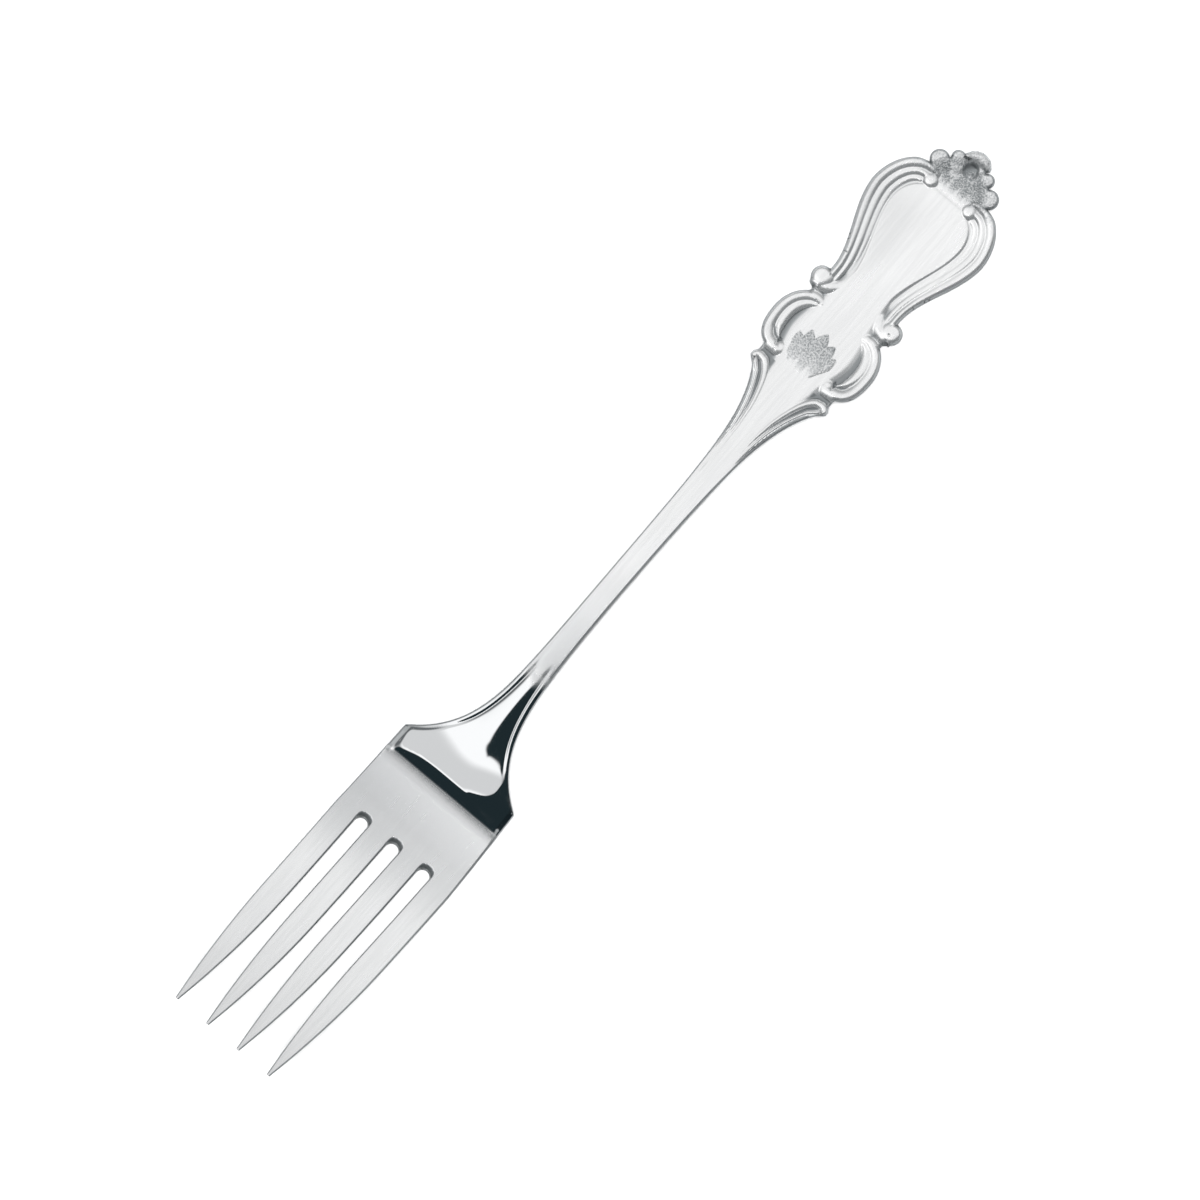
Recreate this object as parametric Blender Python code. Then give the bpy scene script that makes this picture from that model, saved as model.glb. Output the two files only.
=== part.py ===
"""A fruit fork struck from one blank: four tines, a stepped shoulder, a threaded stem and a scrolled handle.

The blank is modelled flat, with its back on z = 0, and each shape is then bent to the side profile.
Flat x runs from the tine tips to the end of the handle, y across the fork and z from the back to the front.
"""

import math

import bmesh
import bpy

MM = 0.001

# Lengths along the fork, one after another from the tips
TINE_LENGTH = 36.1 * MM
PLATE_LENGTH = 14.9 * MM
SHOULDER_LENGTH = 19.0 * MM
STEM_LENGTH = 38.0 * MM
FLARE_LENGTH = 14.4 * MM
LOBE_LENGTH = 14.45 * MM
CARTOUCHE_LENGTH = 15.25 * MM
CROWN_LENGTH = 6.5 * MM
LEAF_LENGTH = 6.4 * MM

# Tines, which lean together towards their tips, and the slots between them
TINES = 4
TINE_PITCH = 5.66 * MM
TINE_WIDTH = 3.56 * MM
OUTER_EXTRA = 0.12 * MM
TINE_POINT = 0.4 * MM
TINE_TAPER = 21.5 * MM
TIP_THICKNESS = 1.0 * MM
TIP_DRAW = 0.022

# Head plate, the boss that steps up from it, and the stem
PLATE_THICKNESS = 1.75 * MM
SHOULDER_HALF_WIDTH = 9.92 * MM
SHOULDER_FADE = 5.35 * MM
STEP_SETBACK = 3.9 * MM
STEP_LENGTH = 2.0 * MM
STEP_RIM = 0.7 * MM
STEP_HEIGHT = 0.4 * MM
BOSS_THICKNESS = 3.35 * MM
NECK_LENGTH = 11.0 * MM
STEM_HALF_WIDTH = 1.74 * MM
STEM_THICKNESS = 2.75 * MM
STEM_EDGE_THICKNESS = 2.6 * MM
STEM_STEP = 0.1 * MM
EDGE_BREAK = 0.3 * MM

# Handle: half widths over the scrolls, and the heights of its ground, panel and beads above the back
FLARE_HALF_WIDTH = 6.7 * MM
FLARE_FADE = 6.6 * MM
HAIRPIN_SPREAD = 1.4 * MM
CURL_OFFSET = 5.9 * MM
CURL_RADIUS = 0.8 * MM
LOBE_CENTRE = 7.0 * MM
LOBE_HALF_WIDTH = 8.75 * MM
LOBE_HALF_LENGTH = 4.63 * MM
LOBE_FOOT = 4.6 * MM
NOTCH_HALF_WIDTH = 6.6 * MM
VOLUTE_OFFSET = 6.36 * MM
VOLUTE_RADIUS = 1.56 * MM
WAIST_HALF_WIDTH = 6.1 * MM
BULGE_HALF_WIDTH = 9.97 * MM
CROWN_HALF_WIDTH = 4.6 * MM
PANEL_HALF_WIDTH = 2.85 * MM
PANEL_CURVE = 1.6
PANEL_LOBE_HALF_WIDTH = 4.3 * MM
GROUND_THICKNESS = 1.65 * MM
PANEL_THICKNESS = 1.85 * MM
PANEL_CROWN = 0.08 * MM
RELIEF_THICKNESS = 2.25 * MM
BEAD_LEVEL = 1.15 * MM

# Beads along the edges and scrolls, and the knobs that end them
BEAD_RADIUS = 0.7 * MM
FINE_BEAD_RADIUS = 0.52 * MM
FINE_BEAD_DROP = 0.07 * MM
BEAD_PITCH = 1.2 * MM
THREAD_RADIUS = 0.34 * MM
THREAD_INSET = 0.8 * MM
THREAD_CREST = 2.15 * MM
KNOB_RADIUS = 0.88 * MM

# Leaf that ends the handle, and the palmette at the handle's waist
WIDE_PETAL_LENGTH = 3.5 * MM
WIDE_PETAL_WIDTH = 3.0 * MM
WIDE_PETAL_SETBACK = 1.4 * MM
WIDE_PETAL_OFFSET = 4.2 * MM
WIDE_PETAL_TURN = 45
SLIM_PETAL_LENGTH = 4.2 * MM
SLIM_PETAL_WIDTH = 2.2 * MM
SLIM_PETAL_OFFSET = 2.1 * MM
SLIM_PETAL_TURN = 32
END_CURL_RADIUS = 1.5 * MM
SCALES = 5
SCALE_REACH = 7.7 * MM
SCALE_LENGTH = 5.6 * MM
SCALE_WIDTH = 2.2 * MM
SCALE_RISE = 0.1 * MM
FAN_SETBACK = 0.8 * MM
FAN_HALF_ANGLE = 31

# Side profile of the back, lying with the tines upwards
TIP_RISE = 13.0 * MM
TIP_CURVE = 1.5
LOW_SETBACK = 10.5 * MM
ARCH_SETBACK = 33.0 * MM
ARCH_RISE = 5.6 * MM
REST_LENGTH = 22.0 * MM

# Places and widths that follow from the sizes above
SLOT_END = TINE_LENGTH
CORNER = SLOT_END + PLATE_LENGTH
STEM_START = CORNER + SHOULDER_LENGTH
STEM_END = STEM_START + STEM_LENGTH
CURL = STEM_END + FLARE_LENGTH
LOBE = CURL + LOBE_CENTRE
VOLUTE = CURL + LOBE_LENGTH
BULGE = VOLUTE + CARTOUCHE_LENGTH
CROWN = BULGE + CROWN_LENGTH
END = CROWN + LEAF_LENGTH
STEP = CORNER - STEP_SETBACK
BOSS = STEP + STEP_LENGTH
LOW = CORNER - LOW_SETBACK
ARCH = CORNER + ARCH_SETBACK
WAIST = VOLUTE + VOLUTE_RADIUS
LEAF_ROOT = END - BEAD_RADIUS - END_CURL_RADIUS / 2
HEAD_HALF_WIDTH = ((TINES - 1) * TINE_PITCH + TINE_WIDTH) / 2 + OUTER_EXTRA


def eased(share):
    """A share of a rise that starts and ends level."""
    share = min(1.0, max(0.0, share))
    return share * share * (3 - 2 * share)


def between(x, start, end, first, last):
    """A value that eases from first to last while x runs from start to end."""
    return first + (last - first) * eased((x - start) / (end - start))


def back_height(x):
    """Height of the back above the table once the blank is bent."""
    if x < LOW:
        return TIP_RISE * ((LOW - x) / LOW) ** TIP_CURVE
    if x < ARCH:
        return between(x, LOW, ARCH, 0, ARCH_RISE)
    return between(x, ARCH, END - REST_LENGTH, ARCH_RISE, 0)


def tine_half_width(x):
    share = min(1.0, max(0.0, x / TINE_TAPER))
    return (TINE_POINT + (TINE_WIDTH - TINE_POINT) * (1 - (1 - share) ** 2)) / 2


def drawn_in(x):
    """Share of the head's width that is left where the tines lean together."""
    return 1 / (1 + TIP_DRAW * max(0.0, 1 - max(0.0, x) / SLOT_END))


def ellipse_height(x, centre, half_length, height):
    return height * math.sqrt(max(0.0, 1 - ((x - centre) / half_length) ** 2))


def scroll_line(x):
    """Middle of the outer bead of the cartouche, up to its widest place."""
    return between(x, WAIST, BULGE, WAIST_HALF_WIDTH - BEAD_RADIUS, BULGE_HALF_WIDTH - BEAD_RADIUS)


def half_width(x):
    """Half width of the blank. On the handle it reaches the middle of the outer beads."""
    if x < SLOT_END:
        outer = tine_half_width(x) + OUTER_EXTRA * min(1.0, x / TINE_TAPER)
        return (TINES - 1) / 2 * TINE_PITCH + outer
    if x < CORNER:
        return HEAD_HALF_WIDTH + (SHOULDER_HALF_WIDTH - HEAD_HALF_WIDTH) * (x - SLOT_END) / PLATE_LENGTH
    if x < CURL:
        neck = (SHOULDER_HALF_WIDTH - STEM_HALF_WIDTH) * math.exp((CORNER - x) / SHOULDER_FADE)
        flare = (FLARE_HALF_WIDTH - STEM_HALF_WIDTH) * math.exp((x - CURL) / FLARE_FADE)
        return STEM_HALF_WIDTH + neck + flare
    if x < VOLUTE:
        rise = LOBE_HALF_WIDTH - BEAD_RADIUS - LOBE_FOOT
        return max(NOTCH_HALF_WIDTH, LOBE_FOOT + ellipse_height(x, LOBE, LOBE_HALF_LENGTH, rise))
    if x < BULGE:
        return scroll_line(x)
    if x < CROWN:
        rise = BULGE_HALF_WIDTH - BEAD_RADIUS - CROWN_HALF_WIDTH
        return CROWN_HALF_WIDTH + ellipse_height(x, BULGE, CROWN_LENGTH, rise)
    return between(x, CROWN, LEAF_ROOT, CROWN_HALF_WIDTH, END_CURL_RADIUS)


def panel_half_width(x):
    """Half width of the raised middle: the shoulder's boss, the stem's crown and the handle's panel."""
    stem = half_width(min(x, STEM_END)) - STEP_RIM - EDGE_BREAK
    if x < STEM_END:
        return stem
    if x < CURL:
        return stem + (PANEL_HALF_WIDTH - stem) * ((x - STEM_END) / FLARE_LENGTH) ** PANEL_CURVE
    if x < LOBE:
        return between(x, CURL, LOBE, PANEL_HALF_WIDTH, PANEL_LOBE_HALF_WIDTH)
    waist = WAIST_HALF_WIDTH - BEAD_RADIUS - 1.5 * BEAD_PITCH
    if x < VOLUTE:
        return between(x, LOBE, VOLUTE, PANEL_LOBE_HALF_WIDTH, waist)
    bulge = BULGE_HALF_WIDTH - BEAD_RADIUS - 2.5 * BEAD_PITCH
    if x < BULGE:
        return between(x, WAIST, BULGE, waist, bulge)
    crown = between(x, BULGE, CROWN, bulge, CROWN_HALF_WIDTH / 2)
    return crown * min(1.0, half_width(x) / CROWN_HALF_WIDTH)


def edge_thickness(x):
    if x < SLOT_END:
        return TIP_THICKNESS + (PLATE_THICKNESS - TIP_THICKNESS) * x / SLOT_END
    if x < STEM_END:
        return between(x, CORNER, STEM_START, PLATE_THICKNESS, STEM_EDGE_THICKNESS)
    return between(x, STEM_END, CURL, STEM_EDGE_THICKNESS, GROUND_THICKNESS)


def panel_thickness(x):
    """Height of the edges of the raised middle."""
    if x < CORNER:
        return edge_thickness(x) + between(x, STEP, BOSS, 0, STEP_HEIGHT)
    if x < STEM_END:
        return edge_thickness(x) + between(x, CORNER, STEM_START, STEP_HEIGHT, STEM_STEP)
    if x < CROWN - KNOB_RADIUS:
        return between(x, STEM_END, CURL, STEM_EDGE_THICKNESS + STEM_STEP, PANEL_THICKNESS)
    return between(x, CROWN - KNOB_RADIUS, CROWN, PANEL_THICKNESS, GROUND_THICKNESS)


def crown_height(x):
    """Rise of the middle line over the edges of the raised middle."""
    boss = BOSS_THICKNESS - PLATE_THICKNESS - STEP_HEIGHT
    stem = STEM_THICKNESS - STEM_EDGE_THICKNESS - STEM_STEP
    if x < BOSS:
        return between(x, STEP, BOSS, 0, boss)
    if x < STEM_END:
        return between(x, BOSS, BOSS + NECK_LENGTH, boss, stem)
    return between(x, STEM_END, CURL, stem, PANEL_CROWN)


def section(x):
    """The closed ring of the blank at one place: flat back, broken edges, rim and raised middle."""
    width = half_width(x)
    edge = edge_thickness(x)
    panel = panel_half_width(x)
    foot = panel + EDGE_BREAK
    shoulder = panel_thickness(x)
    crown = crown_height(x)
    side = [
        (width - EDGE_BREAK, 0),
        (width, EDGE_BREAK),
        (width, edge - EDGE_BREAK),
        (width - EDGE_BREAK, edge),
        (foot, edge),
        (panel, shoulder),
        (panel / 2, shoulder + crown * 3 / 4),
    ]
    ring = side + [(0, shoulder + crown)] + [(-y, z) for y, z in reversed(side)]
    return [(x, y, z) for y, z in ring]


def relief(x):
    """Height of the crests of the wide beads."""
    return RELIEF_THICKNESS


def fine_relief(x):
    return RELIEF_THICKNESS - FINE_BEAD_DROP


def ground(x):
    """Height of the middles of the beads on the handle."""
    return BEAD_LEVEL


def thread_level(x):
    return edge_thickness(x) - THREAD_RADIUS / 2


def thread_crest(x):
    stem = between(x, CORNER, STEM_START, PLATE_THICKNESS, STEM_THICKNESS)
    return between(x, STEM_END, CURL, stem, THREAD_CREST)


def spread(start, end, count):
    return [start + (end - start) * i / count for i in range(count)]


def ellipse_path(centre, along, across, first, last, count):
    """Points on an ellipse with these half axes, between two angles in degrees."""
    angles = [math.radians(first + (last - first) * i / count) for i in range(count + 1)]
    return [(centre[0] + along * math.cos(a), centre[1] + across * math.sin(a)) for a in angles]


def shifted(path, distance):
    """The path moved sideways, to its right."""
    moved = []
    for i, (x, y) in enumerate(path):
        before = path[max(0, i - 1)]
        after = path[min(len(path) - 1, i + 1)]
        run = (after[0] - before[0], after[1] - before[1])
        long = math.hypot(*run)
        moved.append((x + distance * run[1] / long, y - distance * run[0] / long))
    return moved


def bend(bm):
    for vert in bm.verts:
        vert.co.y *= drawn_in(vert.co.x)
        vert.co.z += back_height(vert.co.x)
        vert.co.x -= END / 2


def finish(bm, name, group):
    bmesh.ops.recalc_face_normals(bm, faces=bm.faces)
    mesh = bpy.data.meshes.new(name)
    bm.to_mesh(mesh)
    bm.free()
    obj = bpy.data.objects.new(name, mesh)
    group.objects.link(obj)
    return obj


def helper(bm, name, group):
    obj = finish(bm, name, group)
    obj.hide_render = True
    obj.display_type = "WIRE"


def blank():
    """The bent blank, lofted through its sections."""
    places = spread(0, TINE_TAPER, 8) + spread(TINE_TAPER, SLOT_END, 5) + spread(SLOT_END, STEP, 4)
    places += spread(STEP, CORNER, 7) + spread(CORNER, STEM_START, 18) + spread(STEM_START, STEM_END, 12)
    places += spread(STEM_END, CURL, 12) + spread(CURL, VOLUTE, 18) + spread(VOLUTE, BULGE, 14)
    places += spread(BULGE, CROWN, 9) + spread(CROWN, LEAF_ROOT, 5) + [LEAF_ROOT]
    bm = bmesh.new()
    loops = []
    for x in places:
        verts = [bm.verts.new(point) for point in section(x)]
        loops.append([bm.edges.new(pair) for pair in zip(verts, verts[1:] + verts[:1])])
    for one, other in zip(loops, loops[1:]):
        bmesh.ops.bridge_loops(bm, edges=one + other)
    for end in (loops[0], loops[-1]):
        bmesh.ops.contextual_create(bm, geom=end)
    bend(bm)
    return bm


def gap(middle):
    """The cutter of one slot: a round end, and sides that follow the tines past their tips."""
    radius = (TINE_PITCH - TINE_WIDTH) / 2
    places = [-TINE_POINT] + spread(0, TINE_TAPER, 12) + [TINE_TAPER]
    side = [(x, TINE_PITCH / 2 - tine_half_width(x)) for x in places]
    end = ellipse_path((SLOT_END, 0), radius, radius, 90, -90, 10)
    outline = side + end + [(x, -y) for x, y in reversed(side)]
    bm = bmesh.new()
    bmesh.ops.contextual_create(bm, geom=[
        bm.verts.new((x - END / 2, (middle + y) * drawn_in(x), -PLATE_THICKNESS)) for x, y in outline
    ])
    prism = bmesh.ops.extrude_face_region(bm, geom=bm.faces[:])["geom"]
    top = [part for part in prism if isinstance(part, bmesh.types.BMVert)]
    bmesh.ops.translate(bm, verts=top, vec=(0, 0, TIP_RISE + 3 * PLATE_THICKNESS))
    return bm


def bead(path, radius, crest, level, taper):
    """A rounded bead along a flat path, stretched up to its crest. Its ends narrow to the taper's shares."""
    curve = bpy.data.curves.new("bead", "CURVE")
    curve.dimensions = "3D"
    curve.twist_mode = "Z_UP"
    curve.bevel_depth = radius
    curve.bevel_resolution = 2
    curve.use_fill_caps = True
    spline = curve.splines.new("POLY")
    spline.points.add(len(path) - 1)
    for i, (point, place) in enumerate(zip(spline.points, path)):
        along = i / (len(path) - 1)
        point.co = (*place, 0, 1)
        point.radius = min(between(along, 0, 0.3, taper[0], 1), between(along, 0.7, 1, 1, taper[1]))
    obj = bpy.data.objects.new("bead", curve)
    bpy.context.collection.objects.link(obj)
    bm = bmesh.new()
    bm.from_mesh(bpy.data.meshes.new_from_object(obj.evaluated_get(bpy.context.evaluated_depsgraph_get())))
    bpy.data.objects.remove(obj)
    bmesh.ops.remove_doubles(bm, verts=bm.verts, dist=radius / 100)
    for vert in bm.verts:
        middle = level(vert.co.x)
        vert.co.z = middle + vert.co.z * (crest(vert.co.x) - middle) / radius
    bend(bm)
    return bm


def ball(x, y, radius, crest, level, narrow=1.0, turn=0.0):
    """A rounded knob or petal: a ball, narrowed across and turned in plan."""
    bm = bmesh.new()
    bmesh.ops.create_uvsphere(bm, u_segments=14, v_segments=8, radius=1)
    for vert in bm.verts:
        along = vert.co.x * radius
        across = vert.co.y * radius * narrow
        vert.co.x = x + along * math.cos(turn) - across * math.sin(turn)
        vert.co.y = y + along * math.sin(turn) + across * math.cos(turn)
        vert.co.z = level + vert.co.z * (crest - level)
    bend(bm)
    return bm


def mirrored(bm, side):
    if side < 0:
        bmesh.ops.scale(bm, vec=(1, -1, 1), verts=bm.verts)
    return bm


def ornament(side, group):
    """The thread, scrolls and knobs of one side of the fork."""

    def add(name, bm):
        helper(mirrored(bm, side), name, group)

    places = spread(CORNER + STEP_RIM, STEM_START, 14) + spread(STEM_START, STEM_END, 10)
    places += spread(STEM_END, CURL - CURL_RADIUS, 12)
    out = [(x, half_width(x) - between(x, STEM_START, CURL, THREAD_RADIUS, THREAD_INSET)) for x in places]
    reach = CURL_RADIUS - THREAD_RADIUS
    turn = ellipse_path((CURL, CURL_OFFSET), reach, reach, 100, -40, 6)
    places = spread(CURL - CURL_RADIUS, STEM_END, 10)
    back = [(x, panel_half_width(x) + HAIRPIN_SPREAD * ((x - STEM_END) / FLARE_LENGTH) ** 3) for x in places]
    add("thread", bead(out + turn + back, THREAD_RADIUS, thread_crest, thread_level, (0.6, 0.3)))
    add("curl", ball(CURL, CURL_OFFSET, CURL_RADIUS, PANEL_THICKNESS, BEAD_LEVEL))

    rise = LOBE_HALF_WIDTH - BEAD_RADIUS - LOBE_FOOT
    lobe = ellipse_path((LOBE, LOBE_FOOT), LOBE_HALF_LENGTH, rise, 178, 4, 22)
    add("lobe", bead(lobe, BEAD_RADIUS, relief, ground, (0.8, 0.8)))
    closer = FINE_BEAD_RADIUS + THREAD_RADIUS
    inner_middle = (LOBE, LOBE_FOOT - FINE_BEAD_RADIUS)
    inner = ellipse_path(inner_middle, LOBE_HALF_LENGTH - closer, rise - closer, 155, 8, 16)
    add("inner_lobe", bead(inner, FINE_BEAD_RADIUS, fine_relief, ground, (0.4, 0.6)))
    hook = (lobe[0][0] + THREAD_RADIUS, lobe[0][1] - THREAD_RADIUS)
    for name, (x, y) in (("lobe_knob", hook), ("lobe_end", lobe[-1])):
        add(name, ball(x, y, BEAD_RADIUS, RELIEF_THICKNESS, BEAD_LEVEL))

    waist = WAIST_HALF_WIDTH - BEAD_RADIUS - BEAD_PITCH
    run = [(x, scroll_line(x)) for x in spread(VOLUTE, BULGE, 16)]
    rise = BULGE_HALF_WIDTH - BEAD_RADIUS - CROWN_HALF_WIDTH
    run += ellipse_path((BULGE, CROWN_HALF_WIDTH), CROWN_LENGTH, rise, 90, -14, 14)
    add("scroll", bead(run, BEAD_RADIUS, relief, ground, (0.8, 0.5)))
    middle_run = shifted(run, BEAD_PITCH)
    add("middle_scroll", bead(middle_run, FINE_BEAD_RADIUS, fine_relief, ground, (0.6, 0.7)))
    inner_run = shifted(run, 2 * BEAD_PITCH)[5:]
    add("inner_scroll", bead(inner_run, FINE_BEAD_RADIUS, fine_relief, ground, (0.4, 0.6)))
    add("volute", ball(VOLUTE, VOLUTE_OFFSET, VOLUTE_RADIUS, RELIEF_THICKNESS, BEAD_LEVEL))
    reach = VOLUTE_RADIUS - FINE_BEAD_RADIUS / 2
    band = ellipse_path((VOLUTE, VOLUTE_OFFSET), reach, VOLUTE_OFFSET - waist, 150, 265, 10)
    add("volute_band", bead(band, FINE_BEAD_RADIUS, fine_relief, ground, (0.6, 0.6)))
    knob = (CROWN - BEAD_RADIUS - KNOB_RADIUS, CROWN_HALF_WIDTH - BEAD_PITCH)
    add("knob", ball(*knob, KNOB_RADIUS, RELIEF_THICKNESS, BEAD_LEVEL))


def leaf(group):
    """The fan of petals that ends the handle, round a curled middle one."""
    middle = END - BEAD_RADIUS - END_CURL_RADIUS
    for side in (1, -1):
        wide = ball(
            CROWN + WIDE_PETAL_SETBACK, side * WIDE_PETAL_OFFSET, WIDE_PETAL_LENGTH / 2,
            RELIEF_THICKNESS, BEAD_LEVEL,
            WIDE_PETAL_WIDTH / WIDE_PETAL_LENGTH, side * math.radians(WIDE_PETAL_TURN),
        )
        helper(wide, "wide_petal", group)
        slim = ball(
            middle - END_CURL_RADIUS, side * SLIM_PETAL_OFFSET, SLIM_PETAL_LENGTH / 2,
            RELIEF_THICKNESS, BEAD_LEVEL,
            SLIM_PETAL_WIDTH / SLIM_PETAL_LENGTH, side * math.radians(SLIM_PETAL_TURN),
        )
        helper(slim, "slim_petal", group)
    curl = ellipse_path((middle, 0), END_CURL_RADIUS, END_CURL_RADIUS, -130, 130, 16)
    helper(bead(curl, BEAD_RADIUS, relief, ground, (0.7, 0.7)), "end_curl", group)


def palmette(group):
    """The fan of scales on the panel, between the lobes."""
    top = PANEL_THICKNESS + PANEL_CROWN
    for number in range(SCALES):
        turn = math.radians(FAN_HALF_ANGLE) * (2 * number / (SCALES - 1) - 1)
        reach = SCALE_REACH - SCALE_LENGTH / 2
        x = CURL + FAN_SETBACK + reach * math.cos(turn)
        y = reach * math.sin(turn)
        level = top - SCALE_RISE
        scale = ball(x, y, SCALE_LENGTH / 2, top + SCALE_RISE, level, SCALE_WIDTH / SCALE_LENGTH, turn)
        helper(scale, "scale", group)


def combine(obj, operation, operands):
    boolean = obj.modifiers.new(operation.lower(), "BOOLEAN")
    boolean.operation = operation
    boolean.solver = "EXACT"
    boolean.operand_type = "COLLECTION"
    boolean.collection = operands


def silver():
    material = bpy.data.materials.new("silver")
    material.use_nodes = True
    shader = material.node_tree.nodes["Principled BSDF"]
    shader.inputs["Base Color"].default_value = (0.82, 0.83, 0.83, 1)
    shader.inputs["Metallic"].default_value = 1
    shader.inputs["Roughness"].default_value = 0.3
    return material


def collection(name):
    made = bpy.data.collections.new(name)
    bpy.context.scene.collection.children.link(made)
    return made


for old in list(bpy.data.objects):
    bpy.data.objects.remove(old)
slots = collection("slots")
reliefs = collection("reliefs")
for number in range(TINES - 1):
    helper(gap((number - (TINES - 2) / 2) * TINE_PITCH), "slot", slots)
for hand in (1, -1):
    ornament(hand, reliefs)
leaf(reliefs)
palmette(reliefs)
fork = finish(blank(), "fork", bpy.context.scene.collection)
combine(fork, "DIFFERENCE", slots)
combine(fork, "UNION", reliefs)
fork.data.materials.append(silver())
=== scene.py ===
"""The dressed fruit fork: one struck and finished piece of silver on a pale floor, seen from above.

The fork is drawn flat, in millimetres: x from the tine tips to the end of the handle, y across it and
z up from its back. Its front is a sheet raised to the relief, its back a plain sheet, and a rounded rim
joins the two. All follow the side profile, and are then set in the frame of the solid, in metres.
"""

import math

import bmesh
import bpy
import numpy as np
from mathutils import Matrix, Vector


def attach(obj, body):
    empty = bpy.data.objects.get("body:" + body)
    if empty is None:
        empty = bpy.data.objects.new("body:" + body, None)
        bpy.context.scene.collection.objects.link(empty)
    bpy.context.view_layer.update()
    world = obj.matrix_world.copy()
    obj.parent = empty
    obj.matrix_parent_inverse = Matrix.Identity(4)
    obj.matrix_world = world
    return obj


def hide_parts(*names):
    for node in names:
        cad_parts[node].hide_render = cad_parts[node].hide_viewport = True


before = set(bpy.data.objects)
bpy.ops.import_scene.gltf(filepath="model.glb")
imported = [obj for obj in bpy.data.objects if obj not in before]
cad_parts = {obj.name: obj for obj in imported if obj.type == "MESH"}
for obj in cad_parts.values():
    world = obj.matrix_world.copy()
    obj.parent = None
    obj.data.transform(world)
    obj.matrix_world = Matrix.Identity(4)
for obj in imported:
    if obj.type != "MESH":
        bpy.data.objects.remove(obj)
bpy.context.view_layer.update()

# Places along the fork
TAPER_END, SLOT_END, STEP, CORNER, STEM_END, FLARE_START = 21.5, 36.1, 47.1, 51.0, 100.0, 104.0
CURL, LOBE, VOLUTE, WAIST, BULGE, CROWN, END = 122.4, 129.4, 136.85, 138.45, 152.1, 158.6, 165.0
LEAF_START, LEAF_TIP, MIDDLE, MILLIMETRE = 156.6, END - 0.8, END / 2, 0.001

# Head
TINES, PITCH, TINE_HALF, POINT_HALF, OUTER_EXTRA, DRAWN_IN = 4, 5.66, 1.78, 0.2, 0.12, 0.022
TIP_THICKNESS, PLATE_THICKNESS, SHOULDER_HALF, SHOULDER_FADE = 1.0, 1.75, 9.92, 5.35
SLOT_HALF = PITCH / 2 - TINE_HALF
SLOT_MIDDLES = [(number - (TINES - 2) / 2) * PITCH for number in range(TINES - 1)]
CHAMFER_DEPTH, CHAMFER_REACH, CHAMFER_SIDE = 0.5, 0.8, 0.2

# Boss of the shoulder: its height, how it falls off to the sides, and the wall and ledge round it
BOSS_TOP, BOSS_FLAT, BOSS_ROUND, BOSS_SLOPE, LOWER_SLOPE = 3.45, 6.0, 0.27, 0.21, 0.24
WALL_SLOPE, WALL_SOFT, FILLET, FILLET_REACH = 0.72, 0.9, 0.34, 2.2
LEDGE_SLOPE, LEDGE_LOWER, LEDGE_UNDER, STEM_CREASE = 0.28, 0.2, 0.35, 0.08
LEDGE_START, LEDGE_DROPS, LEDGE_MEETS, LEDGE_END = 46.7, 47.4, 49.8, 56.5
SOONER, SOONER_UNTIL, CORNER_SOONER, CORNER_UNTIL = 1.4, 51.7, 0.9, 50.2

# Neck: where its crest falls from the boss and rises to the stem, its fall to the sides, and its grooves
NECK_TOP, CREST_FALLS, CREST_RISES = 2.65, (46.5, 54.4), (55.0, 74.0)
NECK_START, LOWER_NECK_START, NECK_LENGTH = 51.5, 50.3, 12.5
NECK_FLAT, NECK_CURVE, NECK_SIDE, STEM_CURVE, CURVE_FADES = 2.0, 0.07, 3.5, 0.008, (63.0, 72.0)
GROOVE_DEPTH, GROOVE_COMES, GROOVE_GOES = 0.24, (53.5, 58.0), (66.0, 70.0)
GROOVE_WIDENS, GROOVE_HALVES = (57.0, 64.0), (0.18, 0.24)

# Stem and handle: half widths, and heights over the back
STEM_HALF, STEM_TOP, FLARE_HALF, FLARE_FADE, THREAD_INSET = 1.63, 2.75, 6.7, 6.6, 0.97
GROUND, PANEL, PANEL_CROWN, CREST, MIDDLE_CREST, FINE_CREST = 1.7, 2.0, 0.06, 2.3, 2.15, 1.98
BOW_FOOT, BOW_INSET, LOBE_HALF, LOBE_REACH, LOBE_EDGE, NOTCH_HALF = 4.6, 0.68, 8.72, 4.63, 5.25, 6.4
WAIST_HALF, BULGE_HALF, CROWN_HALF, CROWN_DROP = 6.1, 9.97, 4.6, 0.6
BEAD_HALF, OVERLAP = 0.7, 0.06

# Sunk ground of the handle: where it sinks, its rise in the scrolls and the crown, and the slope down to it
GROUND_SINKS, SCROLL_GROUND, CROWN_GROUND, CROWN_START = (FLARE_START, 117.0), 0.12, 0.1, 155.0
SLOPE_WIDENS, SLOPE_HALVES, SCROLL_SLOPE = (106.0, 121.0), (0.2, 1.4), 0.95

# Spine, the raised middle: half widths from the stem to the waist, and its round far end
SPINE_STEM, SPINE_CURL, SPINE_LOBE, SPINE_VOLUTE, SPINE_WAIST = 0.78, 2.85, 4.2, 3.2, 3.0
SPINE_FADE, SCROLL_WIDTH, FAR_FLAT, FAR_REACH, FAR_ROUND = 9.6, 4.0, 2.0, 4.3, 4.1

# Forms of the ornament: how far each acts, the skirt of its fall, and how soft the creases are
FORM_REACH, SKIRT, SKIRT_SLOPE, CREASE, EDGE_CREASE, BODY_CREASE = 3, 1.5, 2, 0.04, 0.2, 0.35

# Palmette: petals as a turn in degrees and a reach, in three rows that lie over each other
SHELL_MIDDLE, SHELL_START, SHELL_FADE = (123.2, 0.25), 123.7, 2.2
SHELL_PETALS = ((31, 6.7), (17, 7.3), (0, 7.9), (-15, 7.4), (-29, 6.6))
SHELL_ROWS, ROW_TURN, ROW_STEP = (0.0, 1.5, 2.9), 7.5, 0.025
PETAL_HALF, PETAL_POINT, PETAL_EDGE, PETAL_TOP = 1.05, 1.5, 0.22, 0.1

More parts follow.
